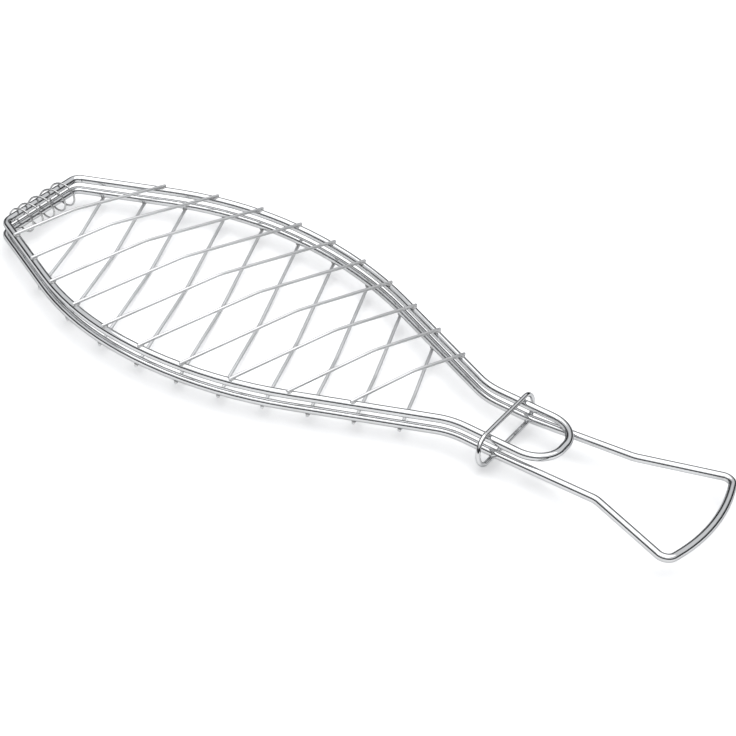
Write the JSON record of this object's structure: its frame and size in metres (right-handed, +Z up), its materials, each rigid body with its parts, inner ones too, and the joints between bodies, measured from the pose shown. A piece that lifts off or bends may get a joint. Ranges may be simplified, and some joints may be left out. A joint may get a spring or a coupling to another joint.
{
  "type": "grill basket",
  "caption": "Fish-shaped wire grilling basket: two hinged wire halves with crossed ridged wires, a fin-shaped loop handle and a sliding locking ring.",
  "frame": {"origin": "middle of the underside of the closed basket's box, on the surface it lies on", "axes": "+X from the hinge at the nose to the handle, +Y across the basket, +Z up from the lower half to the upper half"},
  "size_m": [0.478, 0.17, 0.0292],
  "materials": {
    "frame_chrome": "bright chrome plate on 5 mm steel wire",
    "cross_wire_chrome": "bright chrome plate on 2 mm steel wire, duller at the welds",
    "ring_chrome": "bright chrome plate on 2.8 mm steel wire",
    "coil_steel": "plated thin spring wire, satin"
  },
  "bodies": {
    "lower_half": {"lower_frame_wire": "frame_chrome", "lower_cross_wire_01": "cross_wire_chrome", "lower_cross_wire_02": "cross_wire_chrome", "lower_cross_wire_03": "cross_wire_chrome", "lower_cross_wire_04": "cross_wire_chrome", "lower_cross_wire_05": "cross_wire_chrome", "lower_cross_wire_06": "cross_wire_chrome", "lower_cross_wire_07": "cross_wire_chrome", "lower_cross_wire_08": "cross_wire_chrome", "lower_cross_wire_09": "cross_wire_chrome", "lower_cross_wire_10": "cross_wire_chrome"},
    "coil": {"hinge_coil": "coil_steel"},
    "upper_half": {"upper_frame_wire": "frame_chrome", "upper_cross_wire_01": "cross_wire_chrome", "upper_cross_wire_02": "cross_wire_chrome", "upper_cross_wire_03": "cross_wire_chrome", "upper_cross_wire_04": "cross_wire_chrome", "upper_cross_wire_05": "cross_wire_chrome", "upper_cross_wire_06": "cross_wire_chrome", "upper_cross_wire_07": "cross_wire_chrome", "upper_cross_wire_08": "cross_wire_chrome", "upper_cross_wire_09": "cross_wire_chrome", "upper_cross_wire_10": "cross_wire_chrome"},
    "ring": {"locking_ring": "ring_chrome"}
  },
  "joints": [
    {"name": "coil_swing", "type": "hinge", "parent": "lower_half", "child": "coil", "pos_m": [-0.2322, 0, 0.01039], "axis": [0, -1, 0], "range_deg": [0, 90]},
    {"name": "cover_swing", "type": "hinge", "parent": "coil", "child": "upper_half", "pos_m": [-0.2322, 0, 0.01879], "axis": [0, -1, 0], "range_deg": [0, 90]},
    {"name": "ring_slide", "type": "slide", "parent": "lower_half", "child": "ring", "axis": [1, 0, 0], "range_m": [-0.028, 0.065]}
  ],
  "couplings": [
    {"joint": "coil_swing", "follows": "cover_swing", "ratio": 1}
  ]
}
